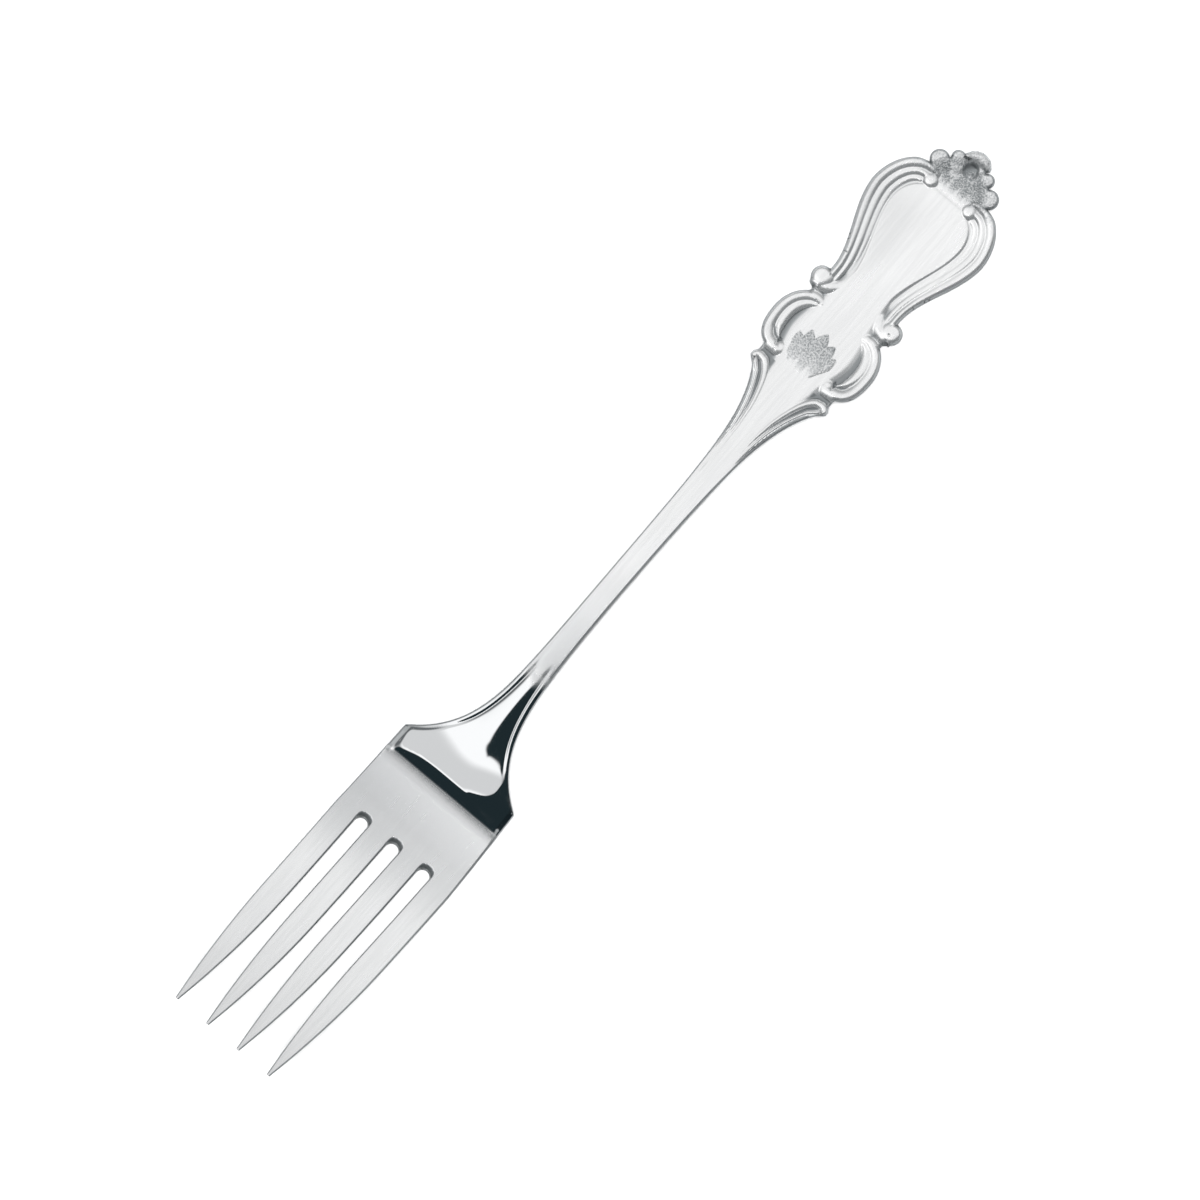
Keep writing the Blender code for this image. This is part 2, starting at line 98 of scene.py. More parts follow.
# Leaf and volute: middle, reach and depth or rise of the eye, its seed and the small pit
BOWL_TOP, BOWL_DEPTH, LEAF_ROOT, PALER_PLACE = 1.94, 0.3, 158.3, (160.5, 1.7)
EYE, EYE_REACH, EYE_DEPTH = (161.75, 0.1), (1.3, 1.05), 0.5
SEED, SEED_REACH, SEED_RISE = (161.3, -0.35), (0.65, 0.5), 0.3
PIT, PIT_REACH, PIT_DEPTH = (VOLUTE - 0.35, -6.25), (0.16, 0.16), 0.2

# Cut inside the hook of each bow
HOOK_CUT, CUT_HALF, CUT_DEPTH = ((125.25, 4.98), (125.8, 5.1), (126.3, 5.0)), 0.13, 0.3

# Rounded rim: radii, the sine of the slope at which it ends, and the shares and painted shade of its rings
HEAD_ROUND, STEM_ROUND, FLARE_ROUND, SCROLL_ROUND, LEAF_ROUND = 0.25, 0.3, 0.42, 0.6, 0.38
TINE_ROUND, RIM_TURN, RIM_SHARES = 0.75, 0.92, (0.37, 0.69, 0.91, 1.0)
RIM_SHADE, RIM_PALER = (0.4, 1.1, 1.7, 2.0, 2.0, 1.2, 0.5, 0.0, 0.0), 162.5

# Side profile of the back
TIP_RISE, TIP_CURVE, LOW, ARCH, ARCH_RISE, REST = 13.0, 1.5, 40.5, 84.0, 5.6, 143.0

# Sheet: runs of rows along the fork as (start, end, spacing), and columns across it
SHEET_ROWS = ((-0.2, 2, 0.15), (2, 35, 0.5), (35, 38.6, 0.2), (38.6, 44.4, 0.4), (44.4, 68, 0.24),
              (68, 106, 0.5), (106, END + 0.2, 0.13))
SHEET_HALF, SHEET_COLUMNS = 10.45, 161

# Step that slopes are read with, and the least and the greatest slope that is reckoned with
SMALL, FLATTEST, STEEPEST = 0.01, 0.2, 2.5

# Finishes and painted shade that the sheet carries from point to point, with their places along the fork and
# their shares
SHARES = ("polish", "painted_shade", "stipple", "brushed_and_shade")
SATIN_POLISH, POLISH_START, POLISH_END = 0.35, 46.9, 65.1
# Painted shade by the threads, at the slot ends, on the ledge, and on the sunk ground, least near the panel
# and more towards the beads
THREAD_SHADE, CHAMFER_SHADE, LEDGE_SHADE, GROUND_SHADE, GROUND_SHADE_BY_BEAD = 1.3, 1.5, 0.9, 0.55, 0.85
LEAF_STIPPLE, ROOT_STIPPLE, PALER_SHARE = 0.62, 0.58, 0.55
HEAD_BRUSHED, HEAD_BRUSHING, PLATE_BRUSHED, PLATE_BRUSHING = (0.15, 1), (27, 38), (0, 0.25), (38, 42)
# Painted shade, as grey, on the stem after the neck and on one side of the panel
STEM_SHADE, PANEL_SHADE = 1.1, 0.4

# Noise of the silver in waves per metre, and its roughness
STROKES, CLOUDS, DIMPLES = (110, 2000, 300), (150, 150, 150), (4300, 4300, 4300)
SATIN_ROUGH, MIRROR_ROUGH = 0.38, 0.05

# Tones of the silver, with the greys of the brush and of painted shade, and the floor
SATIN, SATIN_PALE = (0.905, 0.907, 0.91, 1), (0.982, 0.983, 0.985, 1)
BRUSHED_AND_SHADE_GREY, POLISHED = (0.52, 0.53, 0.54, 1), (0.78, 0.79, 0.8, 1)
# Greys for painted shade, the dull one also for stipple
DULL_AND_SHADE, DEEP_SHADE = (0.37, 0.39, 0.4, 1), (0.17, 0.18, 0.185, 1)
FLOOR, FLOOR_PALE = (0.86, 0.86, 0.86, 1), (0.9, 0.9, 0.9, 1)

# View of the photograph, in degrees and metres
AXIS_TURN, LOOK_DOWN, FAR_OFF, FIELD, CLIP = 49.72, 82.6, 2.5, 0.16753, 20
AIM = (-0.00106, 0.00018, 0.006)

# Light, floor and studio
SUN_STRENGTH, SUN_SPREAD, FLOOR_HALF = 3.65, 20, 4
DARK_SIDE, STUDIO_DARK, STUDIO_PALE = (-3.37, -4.95, 0.0), (0.013, 0.022, 0.026, 1), (1.0, 1.0, 1.0, 1)
TENT_LOW, TENT_RISE, LAMP_RISE, HEADROOM = 0.14, 0.65, 0.44, 0.8


def ease(share):
    share = np.clip(share, 0, 1)
    return share * share * (3 - 2 * share)


def span(x, start, length):
    """A share that eases from 0 to 1 over a length from start."""
    return ease((x - start) / length)


def change(x, start, end, first, last):
    """A value that eases from first to last while x runs from start to end."""
    return first + (last - first) * ease((x - start) / (end - start))


def higher(one, other, soft):
    """The higher of two surfaces, with the crease between them softened."""
    share = np.clip(0.5 + 0.5 * (one - other) / soft, 0, 1)
    return other + (one - other) * share + soft * share * (1 - share)


def nearer(one, other, soft):
    return -higher(-one, -other, soft)


def oval(x, y, middle, reach):
    """How far each point is from a middle, as a share of an oval's reach."""
    return np.hypot((x - middle[0]) / reach[0], (y - middle[1]) / reach[1])


def ragged(y, depth, slow, fast):
    """A ragged line across the fork, from two waves."""
    return depth * np.sin(slow * y) + 0.25 * np.sin(fast * y + 1)


def back_height(x):
    share = np.clip((LOW - x) / LOW, 0, 1)
    arch = change(x, LOW, ARCH, 0, ARCH_RISE)
    return TIP_RISE * share**TIP_CURVE + arch - change(x, ARCH, REST, 0, ARCH_RISE)


def tine_half(x):
    share = np.clip(x / TAPER_END, 0, 1)
    return POINT_HALF + (TINE_HALF - POINT_HALF) * (1 - (1 - share) ** 2)


def scroll_edge(x):
    """Outer edge of the handle's long scrolls, up to their widest place."""
    return change(x, WAIST + 0.5, BULGE + 0.5, WAIST_HALF, BULGE_HALF)


def arc(x, middle, reach, rise):
    return rise * np.sqrt(np.clip(1 - ((x - middle) / reach) ** 2, 0, 1))


def body_half(x):
    """Half width of the fork without its ornament, whose beads overlap it at the edge."""
    head = (TINES - 1) / 2 * PITCH + tine_half(x) + OUTER_EXTRA * np.clip(x / TAPER_END, 0, 1)
    head += (SHOULDER_HALF - head) * np.clip((x - SLOT_END) / (CORNER - SLOT_END), 0, 1)
    neck = (SHOULDER_HALF - STEM_HALF) * np.exp(np.minimum(CORNER - x, 0) / SHOULDER_FADE)
    flare = (FLARE_HALF - STEM_HALF) * np.exp(np.minimum(x - CURL, 0) / FLARE_FADE)
    lobes = BOW_FOOT + arc(x, LOBE, LOBE_EDGE, LOBE_HALF - OVERLAP - BOW_FOOT)
    lobes = np.maximum(NOTCH_HALF, lobes)
    scroll = scroll_edge(x) - OVERLAP
    foot = CROWN_HALF - CROWN_DROP
    crown = foot + arc(x, BULGE, CROWN - BULGE + CROWN_DROP, BULGE_HALF - OVERLAP - foot)
    leaf = change(x, CROWN + 1, LEAF_TIP, CROWN_HALF, 1)
    past_end = -2.0
    return np.select(
        [x < CORNER, x < CURL, x < VOLUTE, x < BULGE, x < CROWN, x < LEAF_TIP],
        [head, STEM_HALF + neck + flare, lobes, scroll, crown, leaf],
        past_end,
    )


def spine_half(x):
    """Half width of the spine: the shoulder's boss, the stem and the handle's panel."""
    stem = body_half(np.minimum(x, STEM_END)) - THREAD_INSET + 0.12 * (1 - span(x, CORNER, 8))
    flare = SPINE_STEM + (SPINE_CURL - SPINE_STEM) * np.exp((x - CURL) / SPINE_FADE)
    widens = change(x, CURL, LOBE, SPINE_CURL, SPINE_LOBE)
    narrows = change(x, LOBE, VOLUTE, SPINE_LOBE, SPINE_VOLUTE)
    scroll = change(x, WAIST + 1, BULGE, SPINE_WAIST, BULGE_HALF - SCROLL_WIDTH)
    return np.select([x < STEM_END, x < CURL, x < LOBE, x < VOLUTE], [stem, flare, widens, narrows], scroll)


def off_spine(x, y):
    """How far each point lies outside the spine, which is round at its far end."""
    across = np.abs(y)
    aside = np.maximum(across - FAR_FLAT, 0) / (BULGE_HALF - SCROLL_WIDTH - FAR_FLAT)
    end = FAR_ROUND * (np.hypot((x - BULGE) / FAR_REACH, aside) - 1)
    return np.where(x < BULGE, across - spine_half(x), end)


def along_ellipse(middle, reach, rise, first, last, count, square=2.0):
    """Points of an arc, in degrees. A square over two fills the corners of its ellipse."""
    turn = np.radians(np.linspace(first, last, count))
    x = np.copysign(np.abs(np.cos(turn)) ** (2 / square), np.cos(turn))
    y = np.copysign(np.abs(np.sin(turn)) ** (2 / square), np.sin(turn))
    return [(middle[0] + reach * a, middle[1] + rise * b) for a, b in zip(x, y)]


def nearest(x, y, path):
    """How far each point is from a path, and the share of the path's length at its nearest place."""
    ends = np.array(path)
    runs = np.diff(ends, axis=0)
    lengths = np.hypot(*runs.T)
    starts = np.concatenate([[0], np.cumsum(lengths)])
    far = np.full(x.shape, 1e3)
    share = np.zeros(x.shape)
    for (ax, ay), (rx, ry), length, start in zip(ends, runs, lengths, starts):
        part = np.clip(((x - ax) * rx + (y - ay) * ry) / length**2, 0, 1)
        away = np.hypot(x - ax - part * rx, y - ay - part * ry)
        share = np.where(away < far, start + part * length, share)
        far = np.minimum(away, far)
    return far, share / starts[-1]


def spread_out(value, share, x):
    """A form's size from point to point: one function of x, or values spread along its path."""
    if callable(value):
        return value(x)
    return np.interp(share, np.linspace(0, 1, len(np.atleast_1d(value))), np.atleast_1d(value))


class Ornament:
    """Beads, knobs and petals on the handle: each is a path with a half width, a crest and a rise to it.

    A higher power is flatter on top and steeper at the sides. A form that isn't mirrored is made once.
    """

    def __init__(self):
        self.forms = []

    def add(self, path, half, crest, rise=0.2, power=2, mirrored=True):
        self.forms.append((path, half, crest, rise, power, mirrored))

    def raised(self, x, y):
        """Height of the highest form at each point, and how far outside the nearest form it is."""
        top = np.zeros(x.shape)
        outside = np.full(x.shape, 50.0)
        for path, half, crest, rise, power, mirrored in self.forms:
            across = np.abs(y) if mirrored else y
            low = np.min(path, axis=0) - FORM_REACH
            high = np.max(path, axis=0) + FORM_REACH
            close = (x > low[0]) & (x < high[0]) & (across > low[1]) & (across < high[1])
            if not close.any():
                continue
            far, share = nearest(x[close], across[close], path)
            wide, peak, drop = (spread_out(value, share, x[close]) for value in (half, crest, rise))
            shape = peak - drop * np.minimum(far / wide, SKIRT) ** power
            shape = shape - SKIRT_SLOPE * np.maximum(far - SKIRT * wide, 0)
            top[close] = higher(shape, top[close], CREASE)
            outside[close] = nearer(far - wide, outside[close], EDGE_CREASE)
        return top, outside


def scroll_path(inset, start, end_angle):
    """A line that keeps an inset from the outer edge of a long scroll. Insets narrow towards the waist."""
    run = []
    for x in np.linspace(start, BULGE, 34):
        run.append((x, float(scroll_edge(x)) - inset * float(change(x, WAIST, BULGE, 0.74, 1))))
    reach = CROWN - BULGE + BEAD_HALF - inset
    rise = BULGE_HALF - CROWN_HALF - inset
    return run + along_ellipse((BULGE, CROWN_HALF), reach, rise, 88, end_angle, 24)


def thread_crest(x):
    return change(x, STEM_END, CURL, STEM_TOP, MIDDLE_CREST)


def thread_rise(x):
    return change(x, FLARE_START, 114, 0.02, 0.2)


def thread_inset(x):
    return change(x, FLARE_START, 116, 0.5, 0.8)


def add_threads(made):
    """Threads that follow the edges of the flare and turn back in hairpins at the curls."""
    out = [(x, float(body_half(x) - thread_inset(x))) for x in np.linspace(FLARE_START, 120.6, 30)]
    turn = [(121.35, 5.55), (121.8, 6.15), (122.2, 6.4), (122.55, 6.2), (122.66, 5.6), (122.5, 4.8)]
    home = [(122.1, 4.3), (121.4, 3.75), (120.4, 3.2), (119.2, 2.74), (117.6, 2.25), (116, 1.88), (113, 1.5),
            (109, 1.25), (106, 1.1)]
    made.add(out + turn[:3], [0.24] * 12 + [0.3, 0.45], thread_crest, thread_rise)
    made.add(turn[2:] + home, [0.5, 0.48, 0.4, 0.36, 0.32, 0.3, 0.28, 0.25, 0.2], thread_crest, thread_rise)


def add_bows(made):
    """The scrolls that bow out beside the palmette and hook inwards, each with a finer bead inside it."""
    hook = [(125.38, 4.2), (125.0, 4.24), (124.8, 4.5)]
    end = [(134.0, 4.2), (133.9, 3.9)]
    rise = LOBE_HALF - BOW_INSET - BOW_FOOT
    bow = along_ellipse((LOBE, BOW_FOOT), LOBE_REACH - 0.1, rise, 176, 92, 30, 2.8)
    bow += along_ellipse((LOBE, BOW_FOOT), LOBE_REACH, rise, 88, 4, 22)
    made.add(hook + bow + end, [BEAD_HALF] * 7 + [0.66, 0.6], [2.1, 2.26] + [CREST] * 9 + [2.25, 2.08])
    inner = along_ellipse((LOBE + 0.1, 4.0), 3.75, 2.68, 153, 8, 36)
    made.add(inner, [0.08, 0.4, 0.52, 0.53, 0.5, 0.36], [1.9] + [MIDDLE_CREST] * 3 + [2.05], 0.13)


def add_volutes(made):
    """Volutes: a ball and the band that wraps it from the panel, which ends wider on one side."""
    ball = [(VOLUTE, 6.36), (VOLUTE + 0.05, 6.36)]
    band = [(138.4, 3.1), (137.2, 3.7), (136.4, 4.5), (135.95, 5.4), (135.6, 6.2), (135.35, 6.75)]
    wide_end = [(136.2, 5.7), (135.8, 6.3), (135.7, 6.75)]
    made.add(ball, 1.56, 2.4, 0.35, power=3)
    made.add(band, [0.7, 0.75, 0.75, 0.72, 0.6, 0.45], [1.86, 1.98, 2.1, 2.2, 2.2, 2.1], 0.2)
    made.add(wide_end, [0.6, 0.7, 0.66], [2.2, 2.34, 2.3], 0.18, power=3, mirrored=False)


def add_long_scrolls(made):
    """Long scrolls of three beads that end in knobs."""
    outer = scroll_path(BEAD_HALF, WAIST - 0.3, -16)
    middle = scroll_path(1.95, WAIST - 1.2, -2)
    fine = scroll_path(2.98, WAIST + 1.2, 2)
    knob = [(157.1, 3.5), (157.15, 3.48)]
    made.add(outer, [0.45, 0.5, 0.62, 0.7, 0.7, 0.7, 0.68, 0.3], CREST)
    made.add(middle, [0.3, 0.42, 0.5, 0.53, 0.53, 0.53, 0.34], [1.95, 2.1] + [MIDDLE_CREST] * 5, 0.13)
    made.add(fine, [0.15, 0.36, 0.48, 0.5, 0.5, 0.5, 0.35], [1.82, 1.92] + [FINE_CREST] * 5, 0.1)
    made.add(knob, 0.87, 2.25, 0.14, power=4)


def add_petals(made):
    """Two wide and two slim petals of the leaf, cupped towards its root."""
    wide = [(158.8, 2.2), (159.8, 3.7), (160.28, 4.5)]
    slim = [(159.6, 0.9), (161.2, 2.1), (162.2, 2.66)]
    made.add(wide, [0.9, 1.38, 1.42], [1.5, 1.98, 2.3], 0.14, power=3)
    made.add(slim, [0.7, 0.98, 1.02], [1.5, 1.92, 2.2], 0.14, power=3)


def ornament():
    made = Ornament()
    for add_piece in (add_threads, add_bows, add_volutes, add_long_scrolls, add_petals):
        add_piece(made)
    return made


def curled_petal():
    """The middle petal, which curls over the eye of the leaf."""
    made = Ornament()
    curl = [(162.2, 1.75), (162.85, 1.82), (163.4, 1.5), (163.85, 0.95), (164.1, 0.2), (164.0, -0.8),
            (163.55, -1.55)]
    half = [0.3, 0.52, 0.68, 0.78, 0.84, 0.76, 0.55]
    made.add(curl, half, [1.9, 2.1, 2.25, 2.3, 2.3, 2.25, 2.1], 0.3, mirrored=False)
    return made


ORNAMENT = ornament()
CURLED = curled_petal()


def shell(x, y):
    """A fan of matted, pointed petals: how far it stands over the panel, and its share of matting."""
    away = x - SHELL_MIDDLE[0]
    aside = y - SHELL_MIDDLE[1]
    top = np.zeros(x.shape)
    for row, short in enumerate(SHELL_ROWS):
        for turn, reach in SHELL_PETALS:
            turn = math.radians(turn + ROW_TURN * (row % 2))
            ahead = away * math.cos(turn) + aside * math.sin(turn)
            off = np.abs(aside * math.cos(turn) - away * math.sin(turn))
            left = np.clip((reach - short - ahead) / PETAL_POINT, 0, 1)
            half = PETAL_HALF * left**0.7
            inside = ease((half - off) / PETAL_EDGE) * (ahead > 1)
            top = np.maximum(top, inside * (PETAL_TOP - ROW_STEP * row + 2 * ROW_STEP * row * (1 - left)))
    fan = span(x + ragged(y, 0.35, 3.1, 7.3), SHELL_START, SHELL_FADE)
    return top * fan, ease(top / 0.05) * fan


def outline(x, y):
    """How far each point lies outside the fork's edge, in plan."""
    y = y * (1 + DRAWN_IN * np.clip(1 - x / SLOT_END, 0, 1))
    slope = np.clip((body_half(x + SMALL) - body_half(x - SMALL)) / (2 * SMALL), -STEEPEST, STEEPEST)
    outside = (np.abs(y) - body_half(x)) / np.sqrt(1 + slope**2)
    pointed = tine_half(x)
    lean = np.sqrt(1 + ((tine_half(x + SMALL) - pointed) / SMALL) ** 2)
    for middle in SLOT_MIDDLES:
        aside = np.abs(y - middle)
        straight = (aside - PITCH / 2 + pointed) / lean
        slot = np.where(x < SLOT_END, straight, np.hypot(x - SLOT_END, aside) - SLOT_HALF)
        outside = np.maximum(outside, -slot)
    outside = np.maximum(outside, -x)
    outside = nearer(outside, ORNAMENT.raised(x, y)[1], BODY_CREASE)
    return nearer(outside, CURLED.raised(x, y)[1], EDGE_CREASE)


def edge_round(x):
    """Radius of the rounded rim."""
    handle = change(x, FLARE_START, 116, STEM_ROUND, FLARE_ROUND)
    handle = handle + change(x, 123, 127, 0, SCROLL_ROUND - FLARE_ROUND)
    handle = handle - change(x, 155.5, 158.5, 0, SCROLL_ROUND - LEAF_ROUND)
    return np.minimum(np.where(x < CORNER, HEAD_ROUND, handle), TINE_ROUND * tine_half(x))


def rounded_off(x, y):
    """Depth that the rounded rim takes off the front near the edge."""
    deep = np.clip(-outline(x, y), 0, 50)
    corner = edge_round(x)
    turned = RIM_TURN * np.clip(1 - deep / corner, 0, 1)
    return corner / RIM_TURN * (1 - np.sqrt(1 - turned**2))


def slot_chamfer(x, y):
    """Depth that is filed off the front round the ends of the slots."""
    cut = np.zeros(x.shape)
    for middle in SLOT_MIDDLES:
        aside = y - middle
        away = np.hypot(x - SLOT_END, aside) - SLOT_HALF
        beside = ease((SLOT_HALF + CHAMFER_SIDE - np.abs(aside)) / (2 * CHAMFER_SIDE)) * (x > SLOT_END)
        cut = np.maximum(cut, CHAMFER_DEPTH * (1 - np.clip(away / CHAMFER_REACH, 0, 1)) * beside)
    return cut


def boss_fall(x, y):
    """Fall of the boss to the sides: nearly flat, then a slope that starts sooner where y is under 0."""
    across = np.abs(y)
    lower = y < 0
    sooner = SOONER * np.clip((SOONER_UNTIL - x) / 3, 0, 1) ** 2
    sooner = sooner + CORNER_SOONER * np.clip((CORNER_UNTIL - x) / 1.2, 0, 1) ** 2 * ease((10 - across) / 6)
    flat = BOSS_FLAT - lower * sooner
    slope = np.where(lower, LOWER_SLOPE, BOSS_SLOPE)
    return BOSS_ROUND * np.minimum(across / flat, 1) ** 4 + slope * np.maximum(across - flat, 0)


def neck_fall(x, y):
    """Fall of the neck to the sides: round in its middle, then a slope."""
    across = np.abs(y)
    near = np.minimum(across, NECK_FLAT)
    return change(x, *CURVE_FADES, NECK_CURVE, STEM_CURVE) * (near**2 + NECK_SIDE * (across - near))


def head_and_stem(x, y):
    """Height of the head, the boss on its ledge, the neck with its grooves and the stem."""
    lower = y < 0
    past = np.abs(y) - spine_half(x)
    plate = TIP_THICKNESS + (PLATE_THICKNESS - TIP_THICKNESS) * np.clip(x / SLOT_END, 0, 1)
    crest = change(x, *CREST_FALLS, BOSS_TOP, NECK_TOP) + change(x, *CREST_RISES, 0, STEM_TOP - NECK_TOP)
    fall = boss_fall(x, y)
    necked = span(x, np.where(lower, LOWER_NECK_START, NECK_START), NECK_LENGTH)
    crest = crest - fall - (neck_fall(x, y) - fall) * necked
    ledge = plate + FILLET * np.clip((x - STEP + FILLET_REACH) / FILLET_REACH, 0, 1) ** 2
    ledge = ledge - LEDGE_SLOPE * np.maximum(past + 0.2, 0) * span(x, LEDGE_START, 0.8)
    ledge = ledge - LEDGE_LOWER * span(x, LEDGE_DROPS, 0.8) * ease((-5 - y) / 3)
    under = crest - change(x, CORNER, LEDGE_END, LEDGE_UNDER, 0)
    ledge = ledge + (under - ledge) * span(x, LEDGE_MEETS, 1.6)
    wall = nearer(x - STEP, 2.2 * span(x, 50, 1.2) * lower - 1.1 * past, WALL_SOFT)
    stem = higher(nearer(crest, ledge + WALL_SLOPE * wall, STEM_CREASE), ledge, STEM_CREASE)
    depth = change(x, *GROOVE_COMES, 0, GROOVE_DEPTH) - change(x, *GROOVE_GOES, 0, GROOVE_DEPTH)
    return stem - depth * np.exp(-((past / change(x, *GROOVE_WIDENS, *GROOVE_HALVES)) ** 2))


def leaf_share(x):
    return span(x, LEAF_START, 1.4)


def handle_ground(x, y):
    """Height of the flare and handle under their ornament: a panel, its sunk ground and the leaf's bowl."""
    across = np.abs(y)
    within = np.clip(across / spine_half(x), 0, 1) ** 2
    top = change(x, STEM_END, CURL, STEM_TOP, PANEL + PANEL_CROWN) - PANEL_CROWN * within
    ground = change(x, *GROUND_SINKS, STEM_TOP, GROUND) + SCROLL_GROUND * span(x, WAIST, 1.5)
    ground = ground + CROWN_GROUND * span(x, CROWN_START, 1.5) * (1 - span(across, 2.2, 1.2))
    slope = change(x, *SLOPE_WIDENS, *SLOPE_HALVES) - change(x, WAIST - 1, WAIST + 2.5, 0, SCROLL_SLOPE)
    height = ground + (top - ground) * ease(1 - off_spine(x, y) / slope)
    bowl = BOWL_TOP - BOWL_DEPTH * span(x, 157.3, 3) * (1 - span(across, 1, 4))
    return height + (bowl - height) * leaf_share(x)


def eye_share(x, y):
    return ease((1.15 - oval(x, y, EYE, EYE_REACH)) / 0.4)


def painted_shade_share(x, y, raised, filed):
    """Share of painted shade: by the threads, on sunk grounds, at slot ends, in the eye and on the ledge."""
    # Painted shade in the grooves by the threads
    slot = ease((thread_crest(x) - 0.18 - raised) / 0.15) * span(x, 106, 4) * (x < 123.4)
    # Painted shade on the sunk ground, deeper towards the beads
    sunk = ease((GROUND + 0.2 - raised) / 0.15) * (x > 122) * (1 - leaf_share(x))
    sunk = sunk * (GROUND_SHADE + GROUND_SHADE_BY_BEAD * span(off_spine(x, y), 0.4, 1.2))
    # Painted shade on the filed slot ends joins it
    painted_shade = np.maximum(np.maximum(THREAD_SHADE * slot, sunk), CHAMFER_SHADE * ease(filed / 0.08))
    # Painted shade in the eye, darker to one side and lighter on its seed
    seeded = ease(1.6 - oval(x, y, SEED, SEED_REACH))
    eye_shade = eye_share(x, y) * (0.5 + 1.2 * span(x + y, 161.5, 1.5)) * (1 - 0.95 * seeded)
    painted_shade = painted_shade + eye_shade * (x > 160.6) * ease((2.0 - raised) / 0.2)
    # Painted shade on the ledge by the boss
    past = np.abs(y) - spine_half(x)
    ledge_shade = span(x, 46.2, 0.5) * (1 - span(x, 51.5, 1.5)) * span(past, -0.1, 0.3)
    return np.maximum(painted_shade, LEDGE_SHADE * ledge_shade)


def stippling(x, y, matted):
    """Share of stipple: the palmette's matting, and the leaf, most at its root and less at one place on a
    petal.
    """
    rooted = 1 - span(np.hypot(x - LEAF_ROOT, 0.9 * y), 3.4, 1.2)
    grained = 0.3 * span(x, 156.4, 0.8) + 0.7 * span(x + ragged(y, 0.3, 3.7, 8.3), 157.3, 2)
    paler_spot = PALER_SHARE * ease(1.5 - oval(x, y, PALER_PLACE, (1, 1)))
    leaf = leaf_share(x) * grained * (LEAF_STIPPLE + ROOT_STIPPLE * rooted) * (1 - paler_spot)
    return np.maximum(matted * change(x, 125, 130, 0.72, 1), leaf)


def brushing_and_shade(x, y):
    """Share of grey: from the brush on the head, more towards the root, with painted shade to one side;
    painted shade on the stem after the neck, and on one side of the panel.
    """
    head = change(x, *HEAD_BRUSHING, *HEAD_BRUSHED) + change(x, *PLATE_BRUSHING, *PLATE_BRUSHED)
    # The slight darkening of the head to one side is painted shade
    head = head * (1 - span(x, 45.5, 1.5)) * (1 + 0.02 * y)
    # Painted shade on the stem after the neck
    stem = STEM_SHADE * (1 - span(x, 74.5, 15)) * span(x, 64, 6)
    # Painted shade on one side of the panel
    panel = PANEL_SHADE * span(x, 137, 9) * (1 - span(x, 150, 7)) * span(y, -0.8, 3.6)
    return head + stem + panel


def front(x, y):
    """Height of the front over the back, and the shares of polish, painted shade, stipple, and grey from the
    brush with painted shade there.
    """
    stem = head_and_stem(x, y)
    shell_top, matted = shell(x, y)
    raised = stem + (handle_ground(x, y) + shell_top - stem) * span(x, STEM_END, 8)
    filed = slot_chamfer(x, y)
    raised = higher(raised, np.where(x > STEM_END, ORNAMENT.raised(x, y)[0], 0), 0.05) - filed
    cut = nearest(x, np.abs(y), HOOK_CUT)[0]
    raised = raised - CUT_DEPTH * np.exp(-((cut / CUT_HALF) ** 2))
    raised = raised - EYE_DEPTH * eye_share(x, y) * span(x, 160.2, 1.6)
    raised = raised + SEED_RISE * ease(1 - oval(x, y, SEED, SEED_REACH))
    raised = higher(raised, CURLED.raised(x, y)[0], CREASE)
    raised = raised - PIT_DEPTH * ease(1.4 - oval(x, y, PIT, PIT_REACH))
    raised = raised - rounded_off(x, y)
    polish = span(x, POLISH_START, 0.4) * (1 - span(x - 0.5 * np.abs(y), POLISH_END, 2.4))
    return raised, polish, painted_shade_share(x, y, raised, filed), stippling(x, y, matted), brushing_and_shade(x, y)


def steps(*runs):
    """Places from runs of (start, end, spacing), each next to the last."""
    places = []
    for start, end, gap in runs:
        places.append(np.linspace(start, end, round((end - start) / gap), endpoint=False))
    return np.concatenate(places + [[runs[-1][1]]])


def slope_of(field, x, y):
    gx = (field(x + SMALL, y) - field(x - SMALL, y)) / (2 * SMALL)
    gy = (field(x, y + SMALL) - field(x, y - SMALL)) / (2 * SMALL)
    return gx, gy


def no_flatter(slope):
    return np.copysign(np.maximum(np.abs(slope), FLATTEST), slope)


def inner_edge(x, y):
    return outline(x, y) + edge_round(x)


def cells_outside(x, y, long, wide):
    """How many cells of the grid each point lies outside the cut: 9 or -9 where it is far off."""
    away = inner_edge(x, y)
    close = np.abs(away) < 1.2 * (long + wide)
    gx, gy = slope_of(inner_edge, x[close], y[close])
    cells = np.full(x.shape, 9.0) * np.sign(away)
    cells[close] = away[close] / np.maximum(np.maximum(np.abs(gx) * long[close], np.abs(gy) * wide), 1e-6)
    return cells


def onto_cut(x, y, long, wide):
    """Points near the cut, each drawn onto it along the line of the grid that crosses it in fewer cells."""
    reach = 0.6
    first_x, first_y = x, y
    gx, gy = slope_of(inner_edge, x, y)
    lengthwise = np.abs(gx) * long > np.abs(gy) * wide
    for _ in range(4):
        gx, gy = slope_of(inner_edge, x, y)
        off = inner_edge(x, y)
        x = x - np.where(lengthwise, off / no_flatter(gx), 0)
        y = y - np.where(lengthwise, 0, off / no_flatter(gy))
        x = np.clip(x, first_x - reach * long, first_x + reach * long)
        y = np.clip(y, first_y - reach * wide, first_y + reach * wide)
    return x, y


def plan_of(verts):
    return np.array([vert.co[:2] for vert in verts]).T


def raise_to(verts, x, y, z):
    for vert, place in zip(verts, zip(x, y, z)):
        vert.co = place


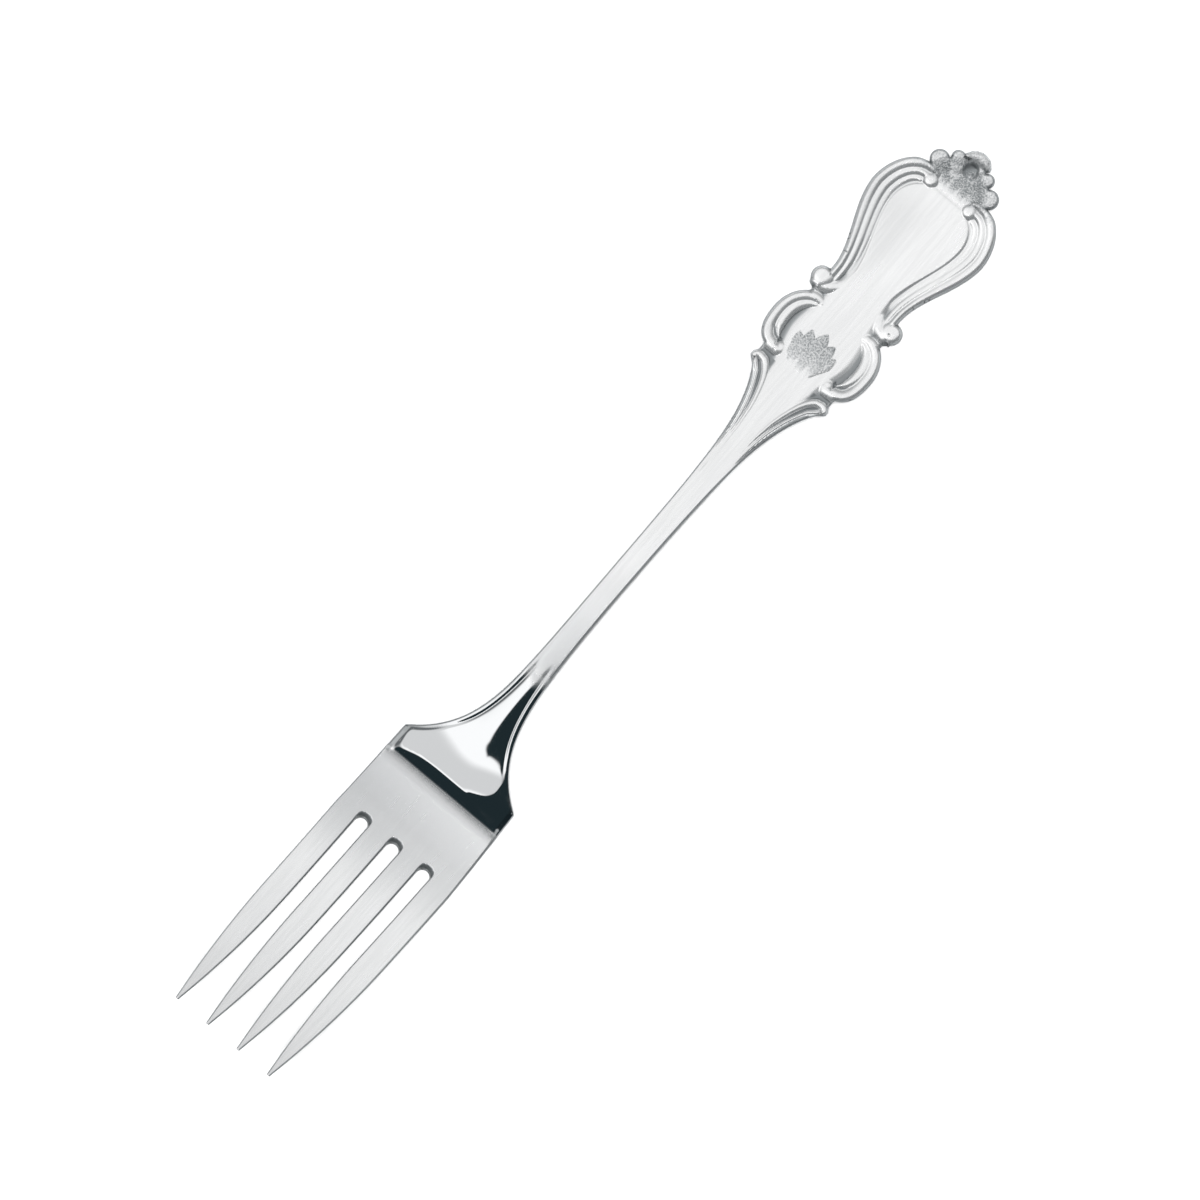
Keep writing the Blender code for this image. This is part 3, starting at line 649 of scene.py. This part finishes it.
def sheet():
    """A flat sheet cut to the fork's plan, short of its rounded rim, with edge points drawn onto the cut."""
    rows = steps(*SHEET_ROWS)
    columns = np.linspace(-SHEET_HALF, SHEET_HALF, SHEET_COLUMNS)
    bm = bmesh.new()
    for name in SHARES:
        bm.verts.layers.float.new(name)
    bmesh.ops.create_grid(bm, x_segments=len(rows) - 1, y_segments=len(columns) - 1, size=0.5)
    along, across = plan_of(bm.verts) + 0.5
    x = np.interp(along, np.linspace(0, 1, len(rows)), rows)
    y = np.interp(across, np.linspace(0, 1, len(columns)), columns)
    long = np.interp(x, rows[:-1], np.diff(rows))
    wide = columns[1] - columns[0]
    cells = cells_outside(x, y, long, wide)
    drawn = np.abs(cells) < 0.5
    waste = cells >= 0.5
    x[drawn], y[drawn] = onto_cut(x[drawn], y[drawn], long[drawn], wide)
    raise_to(bm.verts, x, y, 0 * x)
    bm.verts.index_update()
    corners = []
    for face in bm.faces:
        kept = [vert for vert in face.verts if not waste[vert.index]]
        if len(kept) == 3:
            corners.append(kept)
    bmesh.ops.delete(bm, geom=[vert for vert in bm.verts if waste[vert.index]], context="VERTS")
    for kept in corners:
        bm.faces.new(kept)
    loose = [vert for vert in bm.verts if not vert.link_faces]
    bmesh.ops.delete(bm, geom=loose, context="VERTS")
    return bm


def rim_rings(x, y):
    """Rings that follow the rounded front edge down from the sheet's edge, then the back edge in again."""
    radius = edge_round(x)
    px, py = x, y
    upper = []
    for share in RIM_SHARES:
        for _ in range(3):
            gx, gy = slope_of(outline, px, py)
            steep = np.maximum(np.hypot(gx, gy), FLATTEST)
            move = (radius * (share - 1) - outline(px, py)) / steep**2
            px = px + move * gx
            py = py + move * gy
        upper.append((px, py, front(px, py)[0]))
    under = radius + (upper[-1][2] - 0.1 - radius) * span(x, STEM_END, 10)
    lower = []
    for share, (px, py, _) in zip(RIM_SHARES, upper):
        lower.append((px, py, under * (1 - math.sqrt(1 - share**2))))
    return upper + lower[::-1] + [(x, y, 0 * x)]


def next_ring(ring, fresh):
    """The fresh points that were drawn out of a ring, in its order."""
    drawn = []
    for vert in ring:
        ends = (edge.other_vert(vert) for edge in vert.link_edges)
        drawn.append(next(end for end in ends if end in fresh))
    return drawn


def fork_mesh():
    bm = sheet()
    face_verts = list(bm.verts)
    x, y = plan_of(face_verts)
    rim = [vert for vert in bm.verts if vert.is_boundary]
    rim_edges = [edge for edge in bm.edges if edge.is_boundary]
    rim_x, rim_y = plan_of(rim)
    behind = bmesh.ops.duplicate(bm, geom=bm.verts[:] + bm.edges[:] + bm.faces[:])["vert_map"]
    layers = {name: bm.verts.layers.float[name] for name in SHARES}
    height, *shares = front(x, y)
    raise_to(face_verts, x, y, height + back_height(x))
    for name, share in zip(layers, shares):
        for vert, value in zip(face_verts, share):
            vert[layers[name]] = value
    raise_to([behind[vert] for vert in face_verts], x, y, back_height(x))
    # The rim, ring by ring, with painted shade on its rings, paler round the tip of the leaf
    ring = list(rim)
    paler = 1 - 0.5 * span(rim_x, RIM_PALER, 1)
    for (px, py, pz), dark in zip(rim_rings(rim_x, rim_y), RIM_SHADE):
        made = bmesh.ops.extrude_edge_only(bm, edges=rim_edges)["geom"]
        fresh = {part for part in made if isinstance(part, bmesh.types.BMVert)}
        rim_edges = [part for part in made if isinstance(part, bmesh.types.BMEdge) and part.is_boundary]
        ring = next_ring(ring, fresh)
        raise_to(ring, px, py, pz + back_height(px))
        for vert, part in zip(ring, paler):
            vert[layers["painted_shade"]] = dark * part
    bmesh.ops.weld_verts(bm, targetmap={last: behind[first] for last, first in zip(ring, rim)})
    edge_verts = set(rim)
    plain = [behind[vert] for vert in face_verts if vert not in edge_verts]
    bmesh.ops.unsubdivide(bm, verts=plain, iterations=2)
    polished = layers["polish"]
    for vert in bm.verts:
        if vert[polished] == 0:
            vert[polished] = SATIN_POLISH
    bmesh.ops.translate(bm, verts=bm.verts, vec=(-MIDDLE, 0, 0))
    bmesh.ops.scale(bm, verts=bm.verts, vec=(MILLIMETRE, MILLIMETRE, MILLIMETRE))
    bmesh.ops.recalc_face_normals(bm, faces=bm.faces)
    return bm


class Signal:
    """A node output. Operators on it add Math nodes to its tree."""

    def __init__(self, tree, socket):
        self.tree = tree
        self.socket = socket

    def math(self, operation, one, other):
        return self.tree.node("ShaderNodeMath", {"operation": operation}, {0: one, 1: other})

    def __add__(self, other):
        return self.math("ADD", self, other)

    def __sub__(self, other):
        return self.math("SUBTRACT", self, other)

    def __rsub__(self, other):
        return self.math("SUBTRACT", other, self)

    def __mul__(self, other):
        return self.math("MULTIPLY", self, other)

    __radd__ = __add__
    __rmul__ = __mul__


class Tree:
    """The nodes of one finish."""

    def __init__(self, owner):
        owner.use_nodes = True
        self.nodes = owner.node_tree.nodes
        self.links = owner.node_tree.links
        self.nodes.clear()

    def node(self, kind, settings, sockets, output=0):
        made = self.nodes.new(kind)
        for name, value in settings.items():
            setattr(made, name, value)
        for name, value in sockets.items():
            if isinstance(value, Signal):
                self.links.new(value.socket, made.inputs[name])
            else:
                made.inputs[name].default_value = value
        return Signal(self, made.outputs[output]) if made.outputs else None

    def share(self, value, low, high):
        return self.node("ShaderNodeMapRange", {"interpolation_type": "SMOOTHSTEP"},
                         {"Value": value, "From Min": low, "From Max": high})

    def mix(self, share, one, other):
        return self.node("ShaderNodeMix", {"data_type": "RGBA"}, {0: share, 6: one, 7: other}, 2)


def silver():
    """Satin metal with fine lines: grey where the brush has been and where shade is painted, mirror-bright on
    the neck, and painted shade in hollows and on the rim.
    """
    material = bpy.data.materials.new("silver")
    tree = Tree(material)
    place = tree.node("ShaderNodeTexCoord", {}, {}, "Object")

    def mask(name):
        return tree.node("ShaderNodeAttribute", {"attribute_name": name}, {}, "Fac")

    def grain(stretch, detail):
        stretched = tree.node("ShaderNodeVectorMath", {"operation": "MULTIPLY"}, {0: place, 1: stretch})
        return tree.node("ShaderNodeTexNoise", {}, {"Vector": stretched, "Scale": 1.0, "Detail": detail}, 0)

    polish, painted_shade, stipple, brushed_and_shade = (mask(name) for name in SHARES)
    strokes = grain(STROKES, 1.0)
    cloud = grain(CLOUDS, 2.0)
    dimple = grain(DIMPLES, 2.0)
    satin_rough = SATIN_ROUGH + (strokes - 0.5) * 0.05 + (cloud - 0.5) * 0.05
    mirror_rough = MIRROR_ROUGH + (cloud - 0.5) * 0.02
    rough = satin_rough * (1 - polish) + mirror_rough * polish + painted_shade * 0.1 + stipple * 0.08
    lines = tree.share(strokes, 0.3, 0.7)
    tone = tree.mix(cloud * 0.35 + lines * 0.65, SATIN, SATIN_PALE)
    # Grey of the brush, with painted shade on the stem, the panel and one side of the head
    tone = tree.mix(brushed_and_shade * 0.6, tone, BRUSHED_AND_SHADE_GREY)
    tone = tree.mix(tree.share(polish, SATIN_POLISH, 1), tone, POLISHED)
    # Stipple greys the silver as matting does, and the pits of its grain carry painted shade
    pit_shade = tree.share(dimple, 0.36, 0.64)
    dull_and_shade = painted_shade * 0.75 + stipple * (0.3 + pit_shade * 0.55)
    # Painted shade takes the tone to a dull grey, and to a dark grey where it is deepest; stipple dulls it as
    # well
    tone = tree.mix(tree.share(dull_and_shade, 0, 1), tone, DULL_AND_SHADE)
    tone = tree.mix(tree.share(painted_shade, 0.9, 2), tone, DEEP_SHADE)
    bump = (dimple - 0.5) * 0.5 * stipple
    relief = tree.node("ShaderNodeBump", {}, {"Strength": 0.6, "Distance": 0.0005, "Height": bump})
    metallic = 0.74 + polish * 0.26
    shader = tree.node("ShaderNodeBsdfPrincipled", {},
                       {"Base Color": tone, "Metallic": metallic, "Roughness": rough, "Normal": relief})
    tree.node("ShaderNodeOutputMaterial", {}, {"Surface": shader})
    return material


def pale_floor():
    material = bpy.data.materials.new("pale_floor")
    tree = Tree(material)
    place = tree.node("ShaderNodeTexCoord", {}, {}, "Object")
    cloud = tree.node("ShaderNodeTexNoise", {}, {"Vector": place, "Scale": 3.0})
    tone = tree.mix(cloud, FLOOR, FLOOR_PALE)
    shader = tree.node("ShaderNodeBsdfPrincipled", {}, {"Base Color": tone, "Roughness": 0.9})
    tree.node("ShaderNodeOutputMaterial", {}, {"Surface": shader})
    return material


def studio():
    """A bright tent overhead that ends in a dark edge on the camera's side."""
    world = bpy.data.worlds.new("studio")
    tree = Tree(world)
    look = tree.node("ShaderNodeTexCoord", {}, {}, "Generated")
    height = tree.node("ShaderNodeSeparateXYZ", {}, {"Vector": look}, "Z")
    side = tree.node("ShaderNodeVectorMath", {"operation": "DOT_PRODUCT"}, {0: look, 1: DARK_SIDE}, "Value")
    along = tree.node("ShaderNodeSeparateXYZ", {}, {"Vector": look}, "X")
    tent = TENT_LOW + TENT_RISE * tree.share(height, 0.25, 0.8)
    lamp = LAMP_RISE * (1 - tree.share(along, -0.06, 0.08)) * tree.share(height, 0.7, 0.95)
    shade = (1 - tree.share(side, 0.9, 1.12)) * tree.share(along, -0.68, -0.4)
    # A mix takes shares up to 1, so the level is scaled down for it, and the strength makes up for that
    level = (tent + lamp) * shade * HEADROOM
    tone = tree.mix(level, STUDIO_DARK, STUDIO_PALE)
    glow = tree.node("ShaderNodeBackground", {}, {"Color": tone, "Strength": 1 / HEADROOM})
    tree.node("ShaderNodeOutputWorld", {}, {"Surface": glow})
    return world


def placed(name, data, place):
    made = bpy.data.objects.new(name, data)
    made.matrix_world = place
    bpy.context.scene.collection.objects.link(made)
    return made


def new_piece(name, bm, material):
    mesh = bpy.data.meshes.new(name)
    bm.to_mesh(mesh)
    bm.free()
    mesh.materials.append(material)
    mesh.shade_smooth()
    return placed(name, mesh, Matrix())


fork = new_piece("silver_fork", fork_mesh(), silver())
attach(fork, "root")
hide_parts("fork")

ground = bmesh.new()
bmesh.ops.create_grid(ground, x_segments=1, y_segments=1, size=FLOOR_HALF)
floor = new_piece("floor", ground, pale_floor())

# Camera: above the fork, leaning to the photograph's lower side
turn, down = math.radians(AXIS_TURN), math.radians(LOOK_DOWN)
upward = Vector((math.sin(turn), math.cos(turn), 0))
toward = math.sin(down) * Vector((0, 0, 1)) - math.cos(down) * upward
right = Vector((math.cos(turn), -math.sin(turn), 0))
view = Matrix((right, toward.cross(right), toward)).transposed().to_4x4()
lens = bpy.data.cameras.new("camera")
lens.lens = lens.sensor_width * FAR_OFF / FIELD
lens.clip_end = CLIP
bpy.context.scene.camera = placed("camera", lens, Matrix.Translation(Vector(AIM) + toward * FAR_OFF) @ view)

# Soft light from the camera's side, for the floor and the satin metal, that no reflection shows
lamp = bpy.data.lights.new("floor_light", "SUN")
lamp.energy = SUN_STRENGTH
lamp.angle = math.radians(SUN_SPREAD)
floor_light = placed("floor_light", lamp, view)
floor_light.visible_glossy = False

bpy.context.scene.world = studio()
bpy.context.scene.view_settings.view_transform = "Standard"
